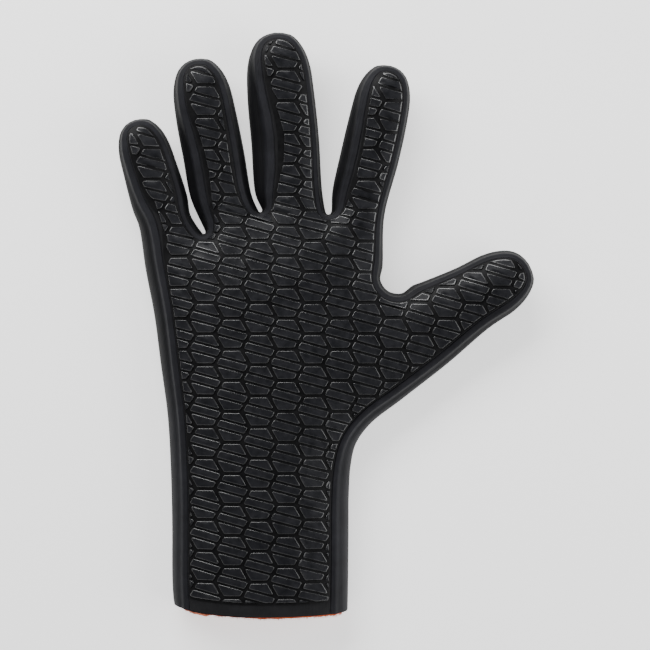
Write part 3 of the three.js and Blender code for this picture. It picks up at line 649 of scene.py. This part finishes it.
def makeStrip(name, first, last):
    rows = np.arange(first, last + 1)
    count = len(rows)
    points, inner, across, wearAndPaintedLight = [], [], [], []
    for share in strip["backShares"]:
        places = edge["at"][rows] + (backSeam[rows] - edge["at"][rows]) * share
        position, normal = stripSurface(places, -1, rows, share)
        distance = (1 - share) * shell["backStrip"]
        points.append(position - normal * seamDip(np.full(count, distance))[:, None])
        inner.append(position - normal * shell["wall"])
        across.append(np.full(count, -share * shell["backStrip"]))
        wearAndPaintedLight.append(stripPaintedLight(places, 0))
    level = shell["edgeHeight"] + curl(edge["at"][rows])
    points.append(np.column_stack([edge["at"][rows], level]))
    inner.append(np.column_stack([edge["at"][rows] + edge["inward"][rows] * shell["wall"], level]))
    across.append(np.zeros(count))
    wearAndPaintedLight.append(stripPaintedLight(edge["at"][rows], 0))
    reach = edge["strip"][rows]
    for share in strip["palmShares"]:
        places = edge["at"][rows] + (palmSeam[rows] - edge["at"][rows]) * share
        position, normal = stripSurface(places, 1, rows, share)
        relief = stripRelief((1 - share) * reach, reach, places[:, 1])
        points.append(position + normal * relief[:, None])
        inner.append(position - normal * shell["wall"])
        across.append(share * reach)
        wearAndPaintedLight.append(stripPaintedLight(places, share))
    points, inner = (np.stack(part, axis=1).reshape(-1, 3) for part in (points, inner))
    columns = len(across)
    corner = np.arange(count - 1)[:, None] * columns + np.arange(columns - 1)
    faces = np.stack([corner, corner + 1, corner + columns + 1, corner + columns], axis=-1)
    piece = makeShell(name + "_jersey", points, inner, faces.reshape(-1, 4), stripJersey)
    layer = piece.data.uv_layers.new(name="UVMap")
    run = np.repeat(edgeRun[rows], columns)
    side = np.stack(across, axis=1).reshape(-1)
    corners = np.array([loop.vertex_index for loop in piece.data.loops]) % len(points)
    layer.data.foreach_set("uv", np.stack([side[corners], run[corners]], axis=1).ravel())
    # Stores the painted highlight on the ridge and the painted shade outside it as a per-point
    # colour factor.
    givePaintedLight(piece, np.stack(wearAndPaintedLight, axis=1))
    finishPiece(piece, "side_neoprene", name)


stripNames = ["side_strip_pinky", "fourchette_pinky_ring", "fourchette_ring_middle",
              "fourchette_middle_index", "fourchette_index_thumb", "side_strip_thumb"]
stripEnds = [0, *edge["tips"], len(edge["at"]) - 1]
for order, stripName in enumerate(stripNames):
    makeStrip(stripName, stripEnds[order], stripEnds[order + 1])


# Palm and back panels: their rim is the seam, their inside an even grid
panel = {
    "spacing": 0.0028,      # of the grid
    "clear": 0.0011,        # from the rim to the grid
    "mouthSteps": 48,
    "rings": (0.2, 0.45, 0.75, 1.05),   # rows beside the seam, in roundings of the edge
    "weld": 1e-9,
}

# Output types of delaunay_2d_cdt: triangles inside the loops, or whole faces with their loops
triangles, wholeFaces = 1, 3


# Which places are inside a loop, and how far each is from the loop's nearest point.
def insideLoop(places, loop):
    start, end = loop, np.roll(loop, -1, axis=0)
    level = start[:, 1] != end[:, 1]
    start, end = start[level], end[level]
    inside = np.zeros(len(places), bool)
    away = np.empty(len(places))
    for first in range(0, len(places), shell["chunk"]):
        part = places[first:first + shell["chunk"]]
        x, y = part[:, :1], part[:, 1:]
        spans = (start[:, 1] > y) != (end[:, 1] > y)
        run, rise = (end - start).T
        crossing = start[:, 0] + run * (y - start[:, 1]) / rise
        inside[first:first + len(x)] = (spans & (crossing > x)).sum(axis=1) % 2 == 1
        away[first:first + len(x)] = np.hypot(loop[:, 0] - x, loop[:, 1] - y).min(axis=1)
    return inside, away


def gridInside(loop, spacing, clear):
    low, high = loop.min(axis=0), loop.max(axis=0)
    grid = []
    for row, y in enumerate(np.arange(low[1], high[1], spacing * math.sqrt(3) / 2)):
        x = np.arange(low[0] + row % 2 * spacing / 2, high[0], spacing)
        grid.append(np.column_stack([x, np.full(len(x), y)]))
    grid = np.vstack(grid)
    inside, away = insideLoop(grid, loop)
    return grid[inside & (away > clear)]


def mouthPlaces(fromX, toX, above, steps):
    x = np.linspace(fromX, toX, steps + 1)[1:-1]
    return np.column_stack([x, mouthLine(x) + above])


def toVectors(places):
    return [Vector(place) for place in places.tolist()]


def fillLoop(loop, inner):
    flat = toVectors(np.vstack([loop, inner]))
    ring = list(range(len(loop)))[::-1]
    found = delaunay_2d_cdt(flat, [], [ring], triangles, panel["weld"])
    return np.array([tuple(place) for place in found[0]]), found[2]


def makePanel(name, seam, face, slot, material):
    along = np.gradient(seam, axis=0)
    along /= np.linalg.norm(along, axis=1)[:, None]
    inward = np.stack([along[:, 1], -along[:, 0]], axis=1)
    rim, *rings = (seam + inward * (strip["seamHalf"] + distance * strip["seamRound"])
                   for distance in (0, *panel["rings"]))
    mouth = mouthPlaces(rim[-1, 0], rim[0, 0], 0, panel["mouthSteps"])
    loop = np.vstack([rim, mouth])
    inner = gridInside(loop, panel["spacing"], panel["clear"])
    places, faces = fillLoop(loop, np.vstack([ring[2:-2] for ring in rings] + [inner]))
    position, normal = surfaceAt(places, face)
    gaps = np.empty(len(places))
    for start in range(0, len(places), shell["chunk"]):
        part = places[start:start + shell["chunk"]]
        away = np.sqrt(((part[:, None] - rim) ** 2).sum(axis=2))
        gaps[start:start + len(part)] = away.min(axis=1)
    outer = position - normal * seamDip(gaps)[:, None]
    if face < 0:
        faces = [corners[::-1] for corners in faces]
    piece = makeShell(name + "_jersey", outer, position - normal * shell["wall"], faces, material)
    givePaintedLight(piece, np.ones(len(position)))
    finishPiece(piece, slot, name)


makePanel("palm_panel", palmSeam, 1, "panel_neoprene", palmJersey)
makePanel("back_panel", backSeam, -1, "panel_neoprene", palmJersey)

# Grip: a thin rubber sheet with raised tiles
grip = {
    "inset": 0.0007,        # from the seam to the sheet's edge
    "stop": 0.0062,         # bare band at the mouth
    "sheet": 0.0006,        # thickness of the sheet
    "tileInset": 0.0014,    # from the seam to the tiles
    "tileStop": 0.0071,
    "cell": 0.0148,         # honeycomb, flat to flat
    "groove": 0.0014,
    "split": 0.0009,        # slanted grooves across a cell
    "splitLean": -15,
    "splitUp": (0.0024, -0.0022),   # how far over the cell's middle they run
    "corner": 0.0009,       # rounding of the tiles' corners
    "cornerSteps": 3,
    "high": 0.0008,
    "smallest": 1.2e-6,     # cut pieces under this area are left out
    "thinnest": 0.0007,
    "wide": 0.0022,         # tiles at least this wide have the full lip
    "lip": ((0.1, 0.24), (0.15, 0.14), (0.17, 0.05), (0.18, -0.04)),
    "smallLip": ((0.08, 0.22), (0.1, 0.15), (0.12, 0.08)),
    "grid": 0.0024,
    "gridClear": 0.4,       # from a tile's edge to the grid, in steps of the grid
    "flatTop": 0.99,        # upward normal from which a face is a flat top
    "polished": 0.995,      # upward normal up to which a face is a polished rim
    "wallShare": 0.55,      # of a tile's height, its upright wall
    "stopClear": 0.0004,    # from the bare band to the edge's next place
    "cornerShare": 0.45,    # of a side, the most that a rounded corner takes
    "sunk": 1.2,            # the sheet's thickness with what lies in the palm
    "weld": 1e-8,
    "smoothAngle": 50,
}
gripEdge = placesInside(edge["strip"] + grip["inset"])
tileEdge = placesInside(edge["strip"] + grip["tileInset"])
print("grip edges placed")


def stoppedLoop(places, stop):
    kept = places[places[:, 1] > mouthLine(places[:, 0]) + stop + grip["stopClear"]]
    left = [kept[0, 0], mouthLine(kept[0, 0]) + stop]
    right = [kept[-1, 0], mouthLine(kept[-1, 0]) + stop]
    return np.vstack([left, kept, right, mouthPlaces(right[0], left[0], stop, panel["mouthSteps"])])


def cutHalf(polygon, point, normal):
    kept = []
    for a, b in zip(polygon, np.roll(polygon, -1, axis=0)):
        da, db = (a - point) @ normal, (b - point) @ normal
        if da >= 0:
            kept.append(a)
        if (da >= 0) != (db >= 0):
            kept.append(a + (b - a) * da / (da - db))
    return np.array(kept)


def roundCorners(polygon, radius, steps):
    rounded = []
    for before, corner, after in zip(*(np.roll(polygon, turn, axis=0) for turn in (1, 0, -1))):
        to, away = before - corner, after - corner
        shorter = min(np.linalg.norm(to), np.linalg.norm(away))
        to, away = to / np.linalg.norm(to), away / np.linalg.norm(away)
        half = math.acos(np.clip(to @ away, -1, 1)) / 2
        cut = min(radius / math.tan(half), grip["cornerShare"] * shorter)
        for t in np.arange(steps + 1) / steps:
            rounded.append(corner + cut * ((1 - t) ** 2 * to + t ** 2 * away))
    return np.array(rounded)


def tileShapes():
    apothem = (grip["cell"] - grip["groove"]) / 2
    turns = np.radians(np.arange(6) * 60)
    cell = np.column_stack([np.cos(turns), np.sin(turns)]) * apothem * 2 / math.sqrt(3)
    along, across = leaning(90 - grip["splitLean"])
    bands = []
    for up in grip["splitUp"]:
        middle = np.array([0, up])
        bands.append(cutHalf(cell, middle - across * grip["split"] / 2, -across))
        cell = cutHalf(cell, middle + across * grip["split"] / 2, across)
    return [roundCorners(band, grip["corner"], grip["cornerSteps"]) for band in [*bands, cell]]


def makeTileOutlines(border):
    low, high = border.min(axis=0) - grip["cell"], border.max(axis=0) + grip["cell"]
    columnStep = grip["cell"] * math.sqrt(3) / 2
    centres = []
    for column in range(math.floor(low[0] / columnStep), math.ceil(high[0] / columnStep) + 1):
        for row in range(math.floor(low[1] / grip["cell"]), math.ceil(high[1] / grip["cell"]) + 1):
            centres.append((column * columnStep, (row + column % 2 / 2) * grip["cell"]))
    centres = np.array(centres)
    inside, away = insideLoop(centres, border)
    centres = centres[inside | (away < grip["cell"])]
    polygons = [shape + centre for centre in centres for shape in tileShapes()]
    points = toVectors(border)
    rings = [list(range(len(points)))[::-1]]
    for polygon in polygons:
        rings.append(list(range(len(points), len(points) + len(polygon))))
        points += toVectors(polygon)
    found = delaunay_2d_cdt(points, [], rings, wholeFaces, grip["weld"])
    flat = np.array([tuple(place) for place in found[0]])
    kept = []
    for face, owners in zip(found[2], found[5]):
        if 0 not in owners or len(owners) < 2:
            continue
        ring = flat[list(face)]
        after = np.roll(ring, -1, axis=0)
        area = abs((ring[:, 0] * after[:, 1] - ring[:, 1] * after[:, 0]).sum()) / 2
        width = 4 * area / np.linalg.norm(after - ring, axis=1).sum()
        if area > grip["smallest"] and width > grip["thinnest"]:
            kept.append((ring, width))
    wide = [ring for ring, width in kept if width > grip["wide"]]
    narrow = [ring for ring, width in kept if width <= grip["wide"]]
    return wide, narrow


def makeTiles(rings, lip):
    points = np.vstack(rings)
    starts = np.cumsum([0] + [len(ring) for ring in rings])
    faces = [range(starts[n], starts[n + 1]) for n in range(len(rings))]
    flat = np.column_stack([points, np.zeros(len(points))])
    piece = makeMesh("tiles", flat, faces, [rubber, rimRubber])
    pickOnly(piece)
    bpy.ops.object.mode_set(mode="EDIT")
    bpy.ops.mesh.select_all(action="SELECT")
    bpy.ops.mesh.normals_make_consistent(inside=False)
    high = grip["high"]
    lift = (0, 0, high * grip["wallShare"])
    bpy.ops.mesh.extrude_region_move(TRANSFORM_OT_translate={"value": lift})
    for inset, rise in lip:
        bpy.ops.mesh.inset(thickness=inset * high, depth=rise * high, use_individual=True,
                           use_even_offset=False)
    bpy.ops.object.mode_set(mode="OBJECT")
    return piece


def readPoints(mesh):
    points = np.empty(len(mesh.vertices) * 3)
    mesh.vertices.foreach_get("co", points)
    return points.reshape(-1, 3)


# Puts a grid of points into the tiles' flat tops, so that they can follow the palm.
def gridTops(piece):
    mesh = piece.data
    points = readPoints(mesh)
    rings, others = [], []
    for face in mesh.polygons:
        corners = list(face.vertices)
        isTop = len(corners) > 4 and face.normal.z > grip["flatTop"]
        (rings if isTop else others).append(corners)
    level = points[rings[0][0], 2]
    used = sorted({corner for ring in rings for corner in ring})
    number = {corner: order for order, corner in enumerate(used)}
    loops = [[number[corner] for corner in ring] for ring in rings]
    clear = grip["grid"] * grip["gridClear"]
    inner = [gridInside(points[ring, :2], grip["grid"], clear) for ring in rings]
    flat = toVectors(np.vstack([points[used, :2], *inner]))
    found = delaunay_2d_cdt(flat, [], loops, triangles, grip["weld"])
    index, extra = {}, []
    for order, sources in enumerate(found[3]):
        known = [source for source in sources if source < len(used)]
        if known:
            index[order] = used[known[0]]
        else:
            index[order] = len(points) + len(extra)
            extra.append((*found[0][order], level))
    faces = others + [[index[corner] for corner in face] for face in found[2]]
    every = np.vstack([points, extra])
    gridded = makeMesh(piece.name + "_gridded", every, faces, list(mesh.materials))
    bpy.data.objects.remove(piece)
    return gridded


def polishRims(piece):
    for face in piece.data.polygons:
        face.material_index = 0 if face.normal.z > grip["polished"] else 1


def layOnPalm(piece, above):
    flat = readPoints(piece.data)
    position, normal = surfaceAt(flat[:, :2], 1)
    laid = position + normal * (flat[:, 2:] + above)
    piece.data.vertices.foreach_set("co", laid.ravel())
    piece.data.update()


def makeGrip():
    wide, narrow = makeTileOutlines(stoppedLoop(tileEdge, grip["tileStop"]))
    print("tiles cut:", len(wide), "wide and", len(narrow), "narrow")
    tiles = [gridTops(makeTiles(wide, grip["lip"])), makeTiles(narrow, grip["smallLip"])]
    for tile in tiles:
        polishRims(tile)
        layOnPalm(tile, grip["sheet"])
    loop = stoppedLoop(gripEdge, grip["stop"])
    inner = gridInside(loop, panel["spacing"], panel["clear"])
    places, faces = fillLoop(loop, inner)
    position, normal = surfaceAt(places, 1)
    sheet = makeMesh("palm_grip_rubber", position + normal * grip["sheet"], faces, [grooveRubber])
    thicken(sheet, grip["sheet"] * grip["sunk"])
    joinAll(sheet, tiles, grip["smoothAngle"])
    finishPiece(sheet, "grip_rubber", "palm_grip")


makeGrip()

# Lining: a fleece sleeve inside the cuff
lining = {
    "thickness": 0.0011,
    "clear": 0.00005,
    "proud": (0.0008, 0.0013),      # beyond the mouth, left and right
    "depth": 0.07,
    "sideClear": 0.0003,    # keeps its places off the outline itself
    "around": 120,
    "along": 26,
    "tufts": 900,
    "tuftLong": 0.0013,
    "tuftThick": 0.00011,
    "tuftShort": 0.3,       # share of the full length that the shortest have
    "tuftScatter": (0.0003, 0.0003, 0.0005),
    "tuftLean": (1.1, 0.3, 0.7),
    "seed": 4,
    "proudBlend": (-0.012, 0.004),  # x where the left measure passes into the right one
    "uneven": ((0.12, 900, 0), (0.1, 2300, 1)),     # share, radians a metre in x, phase
    "crowding": 1.5,        # brings the rows closer together towards the mouth
    "smoothAngle": 50,
}


def sideAt(y, side):
    at = edge["at"] if side < 0 else edge["at"][::-1]
    stop = int(np.argmax(at[:, 1] > 0))
    return np.interp(y, at[:stop, 1], at[:stop, 0])


# The fleece ends unevenly, and shows more on the thumb's side.
def proudOf(x):
    low, high = lining["proud"]
    uneven = sum(share * np.sin(pace * x + phase) for share, pace, phase in lining["uneven"])
    return low + (high - low) * smoothStep(x, *lining["proudBlend"]) + uneven * low


# Loose fibres round the lining's end, each a thin three-sided spike.
def makeTufts(ring):
    random = np.random.default_rng(lining["seed"])
    count = lining["tufts"]
    turn = random.uniform(0, len(ring), count)
    first = turn.astype(int) % len(ring)
    share = (turn % 1)[:, None]
    foot = ring[first] * (1 - share) + ring[(first + 1) % len(ring)] * share
    foot = foot + random.uniform(-1, 1, (count, 3)) * lining["tuftScatter"]
    lean = random.uniform(-1, 1, (count, 3)) * lining["tuftLean"] + (0, -1, 0)
    lean /= np.linalg.norm(lean, axis=1)[:, None]
    tip = foot + lean * random.uniform(lining["tuftShort"], 1, (count, 1)) * lining["tuftLong"]
    points, faces = [], []
    for number in range(count):
        for corner in range(3):
            spin = 2 * math.pi * corner / 3
            side = np.array([math.cos(spin), 0, math.sin(spin)])
            points.append(foot[number] + side * lining["tuftThick"])
        points.append(tip[number])
        base = 4 * number
        faces += [(base, base + 1, base + 3), (base + 1, base + 2, base + 3),
                  (base + 2, base, base + 3), (base, base + 2, base + 1)]
    return makeMesh("tufts", points, faces, [fleece])


def makeLining():
    rows = []
    turns = 2 * np.pi * np.arange(lining["around"]) / lining["around"]
    for share in np.linspace(0, 1, lining["along"]) ** lining["crowding"]:
        level = -hand["cuffLength"] + lining["depth"] * share
        left, right = (sideAt((1 - share) * mouthLine(end[0]) + share * level, side)
                       for end, side in ((edge["at"][0], -1), (edge["at"][-1], 1)))
        x = (left + right) / 2 - np.cos(turns) * ((right - left) / 2 - lining["sideClear"])
        y = (1 - share) * (mouthLine(x) - proudOf(x)) + share * level
        places = np.column_stack([x, y])
        up, upNormal = surfaceAt(places, 1)
        down, downNormal = surfaceAt(places, -1)
        onPalm = (turns < np.pi)[:, None]
        position = np.where(onPalm, up, down)
        normal = np.where(onPalm, upNormal, downNormal)
        rows.append(position - normal * (shell["wall"] + lining["clear"]))
    around = lining["around"]
    faces = []
    for row in range(len(rows) - 1):
        for turn in range(around):
            a, b = row * around + turn, row * around + (turn + 1) % around
            faces.append((a + around, a, b, b + around))
    piece = makeMesh("lining_fleece", np.vstack(rows), faces, [fleece])
    thicken(piece, lining["thickness"])
    joinAll(piece, [makeTufts(rows[0])], lining["smoothAngle"])
    finishPiece(piece, "orange_lining", "lining")


makeLining()

# Floor, camera and light
studio = {
    "middle": (0.0314, 0.056),      # what the camera looks at
    "width": 0.3166,                # of the picture at the glove's widest line
    "lens": 90,
    "sensor": 36,
    "floor": 0.93,
    "floorGlow": 0.9,               # the white table is lit from below as well
    "world": 0.22,
    "floorSize": 14,
    "floorDrop": 0.00005,           # just under the glove
    "nearest": 0.01,
    "lights": [
        {"name": "key", "turn": 118, "rise": 39, "away": 0.9, "size": (0.9, 0.4), "energy": 12},
        {"name": "right", "turn": -8, "rise": 31, "away": 1.0, "size": (0.9, 0.75), "energy": 9},
        {"name": "low", "turn": 240, "rise": 34, "away": 1.0, "size": (0.9, 0.5), "energy": 1.6},
    ],
}


def makeFloor():
    place = (*studio["middle"], -studio["floorDrop"])
    bpy.ops.mesh.primitive_plane_add(size=studio["floorSize"], location=place)
    floor = bpy.context.active_object
    floor.name = "floor"
    material, _, _, shader = newMaterial("white_table")
    setInputs(shader, {"Base Color": (studio["floor"],) * 3 + (1,), "Roughness": 0.9,
                       "Emission Color": (1, 1, 1, 1), "Emission Strength": studio["floorGlow"]})
    floor.data.materials.append(material)


def makeStudio():
    makeFloor()
    world = bpy.data.worlds.new("studio")
    world.use_nodes = True
    background = world.node_tree.nodes["Background"]
    setInputs(background, {"Color": (1, 1, 1, 1), "Strength": studio["world"]})
    bpy.context.scene.world = world
    middle = Vector((*studio["middle"], 0))
    for light in studio["lights"]:
        turn, rise = math.radians(light["turn"]), math.radians(light["rise"])
        flat = math.cos(rise)
        back = Vector((math.cos(turn) * flat, math.sin(turn) * flat, math.sin(rise)))
        bpy.ops.object.light_add(type="AREA", location=middle + back * light["away"])
        lamp = bpy.context.active_object
        lamp.name = light["name"]
        lamp.data.shape = "RECTANGLE"
        lamp.data.size, lamp.data.size_y = light["size"]
        lamp.data.energy = light["energy"]
        lamp.rotation_mode = "QUATERNION"
        lamp.rotation_quaternion = back.to_track_quat("Z", "Y")
    away = studio["width"] / 2 * studio["lens"] / (studio["sensor"] / 2)
    height = shell["edgeHeight"] + away
    bpy.ops.object.camera_add(location=(*studio["middle"], height), rotation=(0, 0, 0))
    camera = bpy.context.active_object
    camera.data.lens = studio["lens"]
    camera.data.sensor_width = studio["sensor"]
    camera.data.clip_start = studio["nearest"]
    bpy.context.scene.camera = camera


makeStudio()
print("studio made")
